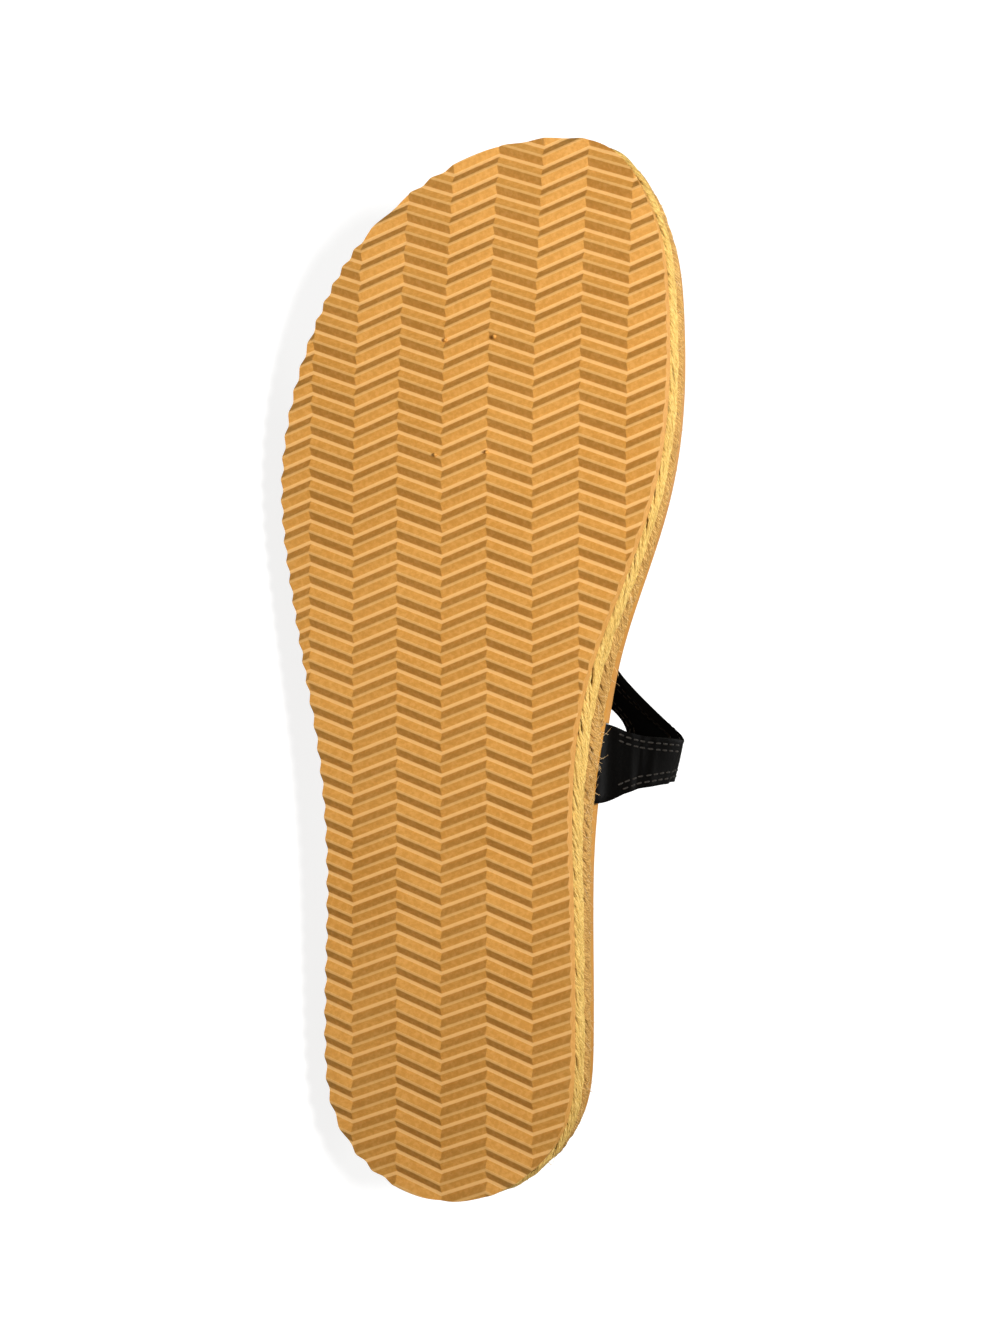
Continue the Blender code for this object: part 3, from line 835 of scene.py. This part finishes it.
straps = strap_grids()
straps = (creased(straps[0], BAND_CREASES), straps[1], straps[2])
points, faces = strap_sheet(straps)
upper = new_object("strap_upper", laid(points), faces)
give_thickness(upper, STRAP_THICK * MM)
turned = upper.modifiers.new("turned_edges", "BEVEL")
turned.width = TURNED_EDGE * MM
turned.segments = TURNED_SEGMENTS
turned.limit_method = "ANGLE"
turned.angle_limit = np.radians(TURNED_ANGLE)
round_edges(upper, TURNED_ANGLE)

leather = new_tree("black_leather")
grain = leather.noise(1900.0, 2.0)
patch = leather.noise(60.0)
black = (grain.between(0.4, 0.7) * 0.5).blend(*LEATHER_BLACKS)
leather_look = new_finish(
    black,
    0.3 + patch * 0.15,
    leather.bump(grain + leather.noise(420.0) * 0.7, 0.2, 0.0002),
    Specular_IOR_Level=0.03,
)
dress(upper, leather_look, "black_leather", "upper")

# Seam threads
# Two rows of taupe thread along each long edge of the straps, seen on both faces. A stitch is a flattened
# stub whose ends dive into the leather.
SEAM_INSETS = (1.4, 3.0)
STITCH_STEP = 2.5
STITCH_LENGTH = 1.8
STITCH_SHAPE = np.array((
    # place along the stitch, size of the thread there
    (-0.5, 0.35),
    (-0.38, 0.85),
    (0.0, 1.0),
    (0.38, 0.85),
    (0.5, 0.35),
))
THREAD_WIDE = 0.27
THREAD_HIGH = 0.15
THREAD_SIDES = 6
THREAD_LIFT = 0.04
THREAD_DIVE = 0.12
THREAD_TONES = ((0.006, 0.005, 0.0035), (0.024, 0.018, 0.012))
LINE_STEP = 0.5
SMOOTH_OVER = 5
BAND_SEWN = (34, 160)
LOOP_SEWN = (6, 114)
BAND_CLEAR = 2
LOOP_CLEAR = 3
STRAP_CLEAR = 3


def inset_line(grid, rows, inset, far):
    """Points and normals of a grid at one distance in from its first edge, or from its last if far."""
    columns = grid.shape[1]
    width = np.linalg.norm(grid[rows, -1] - grid[rows, 0], axis=1)
    at = inset / width * (columns - 1)
    at = columns - 1 - at if far else at
    low = np.clip(at.astype(int), 0, columns - 2)
    share = (at - low)[:, None]
    tables = (grid, grid_normals(grid))
    return np.stack([(1.0 - share) * table[rows, low] + share * table[rows, low + 1] for table in tables])


def stitch_places(line, step):
    """Places at even steps along a line of points and normals, each with way ahead, normal and side.

    The line is first drawn again at fine steps, and each of its points becomes the mean of a few neighbours.
    """
    run = np.concatenate(((0.0,), np.cumsum(np.linalg.norm(np.diff(line[0], axis=0), axis=1))))
    fine = np.arange(0.0, run[-1], LINE_STEP)
    table = np.column_stack((line[0], line[1]))
    even = np.stack([np.interp(fine, run, column) for column in table.T], axis=1)
    window = np.ones(SMOOTH_OVER) / SMOOTH_OVER
    padded = np.pad(even, ((SMOOTH_OVER // 2, SMOOTH_OVER // 2), (0, 0)), "edge")
    even = np.stack([np.convolve(column, window, "valid") for column in padded.T], axis=1)
    place, normal = even[:, :3], unit(even[:, 3:])
    ahead = unit(np.gradient(place, axis=0))
    pick = np.arange(int(step / 2 / LINE_STEP), len(fine), round(step / LINE_STEP))
    side = unit(np.cross(normal, ahead))
    return place[pick], ahead[pick], np.cross(ahead, side)[pick], side[pick]


band_grid, loop_grid, strap_grid = straps
strap_rows = np.arange(STRAP_CLEAR, len(strap_grid) - STRAP_CLEAR)
medial_rows = (
    np.arange(BAND_SEWN[1], BAND_JUNCTION[1] + BAND_CLEAR, -1),
    np.arange(LOOP_JUNCTION[1] + LOOP_CLEAR, LOOP_SEWN[1]),
)
lateral_rows = (
    np.arange(BAND_SEWN[0], BAND_JUNCTION[0] - BAND_CLEAR),
    np.arange(LOOP_JUNCTION[0] - LOOP_CLEAR, LOOP_SEWN[0], -1),
)
seams = []
for inset in SEAM_INSETS:
    seams.append(inset_line(band_grid, np.arange(*BAND_SEWN), inset, False))
    seams.append(inset_line(loop_grid, np.arange(*LOOP_SEWN), inset, True))
    for (band_rows, loop_rows), far in ((medial_rows, True), (lateral_rows, False)):
        on_band = inset_line(band_grid, band_rows, inset, True)
        on_strap = inset_line(strap_grid, strap_rows, inset, far)
        on_loop = inset_line(loop_grid, loop_rows, inset, False)
        on_strap[1] *= np.sign((on_strap[1, 0] * on_band[1, -1]).sum())
        seams.append(np.concatenate((on_band, on_strap, on_loop), axis=1))
seam_places = [stitch_places(line, STITCH_STEP) for line in seams]
place, ahead, normal, side = (np.concatenate(column)[:, None, None] for column in zip(*seam_places))
thread_along = STITCH_SHAPE[:, 0][None, :, None, None] * STITCH_LENGTH
thread_size = STITCH_SHAPE[:, 1][None, :, None, None]
thread_angle = np.linspace(0.0, 2.0 * np.pi, THREAD_SIDES, endpoint=False)[None, None, :, None]
thread = thread_along * ahead + thread_size * (
    THREAD_WIDE * np.cos(thread_angle) * side + THREAD_HIGH * np.sin(thread_angle) * normal
)
height = STRAP_THICK / 2 + THREAD_LIFT - THREAD_DIVE * (1.0 - thread_size)
stitches = np.concatenate([place + face * height * normal + thread for face in (1.0, -1.0)])
ring = np.arange(stitches[..., 0].size).reshape(stitches.shape[:-1])
ring_next = np.roll(ring, -1, axis=2)
stitch_faces = np.stack((ring[:, :-1], ring_next[:, :-1], ring_next[:, 1:], ring[:, 1:]), axis=3)
caps = np.concatenate((ring[:, 0, ::-1], ring[:, -1]))
seam_threads = new_object(
    "seam_threads", laid(stitches.reshape(-1, 3)), stitch_faces.reshape(-1, 4).tolist() + caps.tolist()
)
seam_threads.data.shade_smooth()
thread_tree = new_tree("taupe_thread")
taupe = thread_tree.noise(2500.0).between(0.35, 0.65).blend(*THREAD_TONES)
thread_look = new_finish(taupe, None, Roughness=0.6, Specular_IOR_Level=0.3)
dress(seam_threads, thread_look, "black_leather")

# Footbed
# A tan leather sheet over a thin foam board, lasted round the edge and glued on the rope. The straps'
# ends go down through slots in it.
FOOTBED_EDGE = smooth_path(
    # share of the thickness, distance out from the sole's edge
    ((0.0, -0.8), (0.10, 0.2), (0.72, 0.4), (0.90, -0.1), (1.0, -1.0)), 3
)
FOOTBED_POINTS = 288
FOOTBED_ANGLE = 35
HIDE_TANS = ((0.435, 0.185, 0.02), (0.52, 0.237, 0.03))
HIDE_DARK = (0.35, 0.135, 0.012)
SLOT_GAP = 0.3
SLOT_REACH = 0.5
LIP_Y = (-31.0, -46.0)
LIP_Z = (-0.6, 1.1)

footbed_levels = [(FOOTBED_LOW + share * (FOOTBED_HIGH - FOOTBED_LOW), out) for share, out in FOOTBED_EDGE]
board = new_object("board", *plate(footbed_levels, FOOTBED_POINTS))
slots = new_object("slots", *strap_sheet(strap_grids(SLOT_GAP, SLOT_REACH)))
give_thickness(slots, STRAP_THICK + 2 * SLOT_GAP)
lip_half = BAND[0, 3] + 2 * SLOT_GAP
lip_lean = BAND[0, 4] * lip_half
lip_plan = [(BAND[0, 0] + side * lip_half, LIP_Y[0] + side * lip_lean) for side in (-1, 1)]
lip_plan += [(BAND[0, 0] + side * lip_half, LIP_Y[1] + side * lip_lean) for side in (1, -1)]
lip_points = [(x, y, FOOTBED_LOW + z) for z in LIP_Z for x, y in lip_plan]
lip_faces = [[0, 1, 2, 3], [7, 6, 5, 4]] + [[k + 4, (k + 1) % 4 + 4, (k + 1) % 4, k] for k in range(4)]
lip = new_object("lip", lip_points, lip_faces)
points, triangles = cut_shape(board, ((slots, "DIFFERENCE"), (lip, "DIFFERENCE")))
footbed = new_object("leather_footbed", laid(points), triangles)
round_edges(footbed, FOOTBED_ANGLE)

tan_leather = new_tree("tan_leather")
grain = tan_leather.noise(1100.0, 3.0)
patch = tan_leather.noise(45.0)
hide = patch.between(0.3, 0.7).blend(*HIDE_TANS)
hide = (grain.between(0.5, 0.75) * 0.4).blend(hide, HIDE_DARK)
hide_look = new_finish(
    hide, 0.42 + patch * 0.2, tan_leather.bump(grain, 0.25, 0.0003), Specular_IOR_Level=0.3
)
dress(footbed, hide_look, "tan_leather", "footbed")

# Stage
# A pale floor, one soft light above that is aimed at the toe, wider ones by the camera and on the
# footbed's side, and an even warm surround. The camera looks at the tread from its medial side, with the
# toe at the top.
CAMERA_AT = (118.7, 139.0, -414.0)
CAMERA_LOOKS_AT = (127.0, 11.0, 10.0)
VIEW_HEIGHT_DEGREES = 40.0
SENSOR = 36.0
FLOOR_HALF = 4.0
FLOOR_TONES = ((0.26, 0.26, 0.26), (0.28, 0.28, 0.277))
FLOOR_GLOW = 0.84
SURROUND_TONE = (1.0, 0.95, 0.86, 1.0)
SURROUND_STRENGTH = 0.16

floor = new_object(
    "pale_floor",
    [(x * FLOOR_HALF, y * FLOOR_HALF, 0.0) for x, y in ((-1, -1), (1, -1), (1, 1), (-1, 1))],
    [[0, 1, 2, 3]],
)
paper = new_tree("pale_paper")
paper_look = new_finish(
    paper.noise(3.0).blend(*FLOOR_TONES),
    None,
    Roughness=0.9,
    Emission_Color=(1.0, 1.0, 1.0, 1.0),
    Emission_Strength=FLOOR_GLOW,
)
floor.data.materials.append(paper_look)
floor.visible_diffuse = False
floor.visible_glossy = False


def turned_to(place, target, top):
    """Matrix of a camera or light at place that faces target, with its upper side towards top."""
    back = unit(np.asarray(place) - np.asarray(target))
    right = unit(np.cross(top, back))
    matrix = np.eye(4)
    matrix[:3, :3] = np.column_stack((right, np.cross(back, right), back))
    matrix[:3, 3] = place
    return Matrix(matrix.tolist())


view = bpy.data.cameras.new("view")
view.sensor_width = SENSOR
view.lens = SENSOR / 2 / np.tan(np.radians(VIEW_HEIGHT_DEGREES) / 2)
camera = bpy.data.objects.new("view", view)
camera.matrix_world = turned_to(laid(CAMERA_AT), laid(CAMERA_LOOKS_AT), toe_way)
bpy.context.scene.collection.objects.link(camera)
bpy.context.scene.camera = camera


def add_light(name, place, target, size, watts, spread=180.0):
    """Round lamp of this size at place, turned to target; spread is the angle of its beam in degrees."""
    lamp = bpy.data.lights.new(name, "AREA")
    lamp.shape = "DISK"
    lamp.size = size
    lamp.energy = watts
    lamp.spread = np.radians(spread)
    light = bpy.data.objects.new(name, lamp)
    light.matrix_world = turned_to(np.array(place), np.array(target), (1.0, 0.0, 0.0))
    bpy.context.scene.collection.objects.link(light)


add_light("soft_key", (0.0, 0.17, 1.02), (0.13, 0.0, 0.04), 0.30, 2.1, 70.0)
add_light("camera_fill", (0.05, 0.9, 0.55), (0.0, 0.0, 0.04), 0.6, 0.8)
add_light("footbed_fill", (0.1, -0.9, 0.35), (0.0, 0.0, 0.04), 0.6, 3.0)
surround = bpy.data.worlds.new("white_surround")
surround.use_nodes = True
surround.node_tree.nodes["Background"].inputs["Color"].default_value = SURROUND_TONE
surround.node_tree.nodes["Background"].inputs["Strength"].default_value = SURROUND_STRENGTH
bpy.context.scene.world = surround
bpy.context.scene.view_settings.view_transform = "Standard"
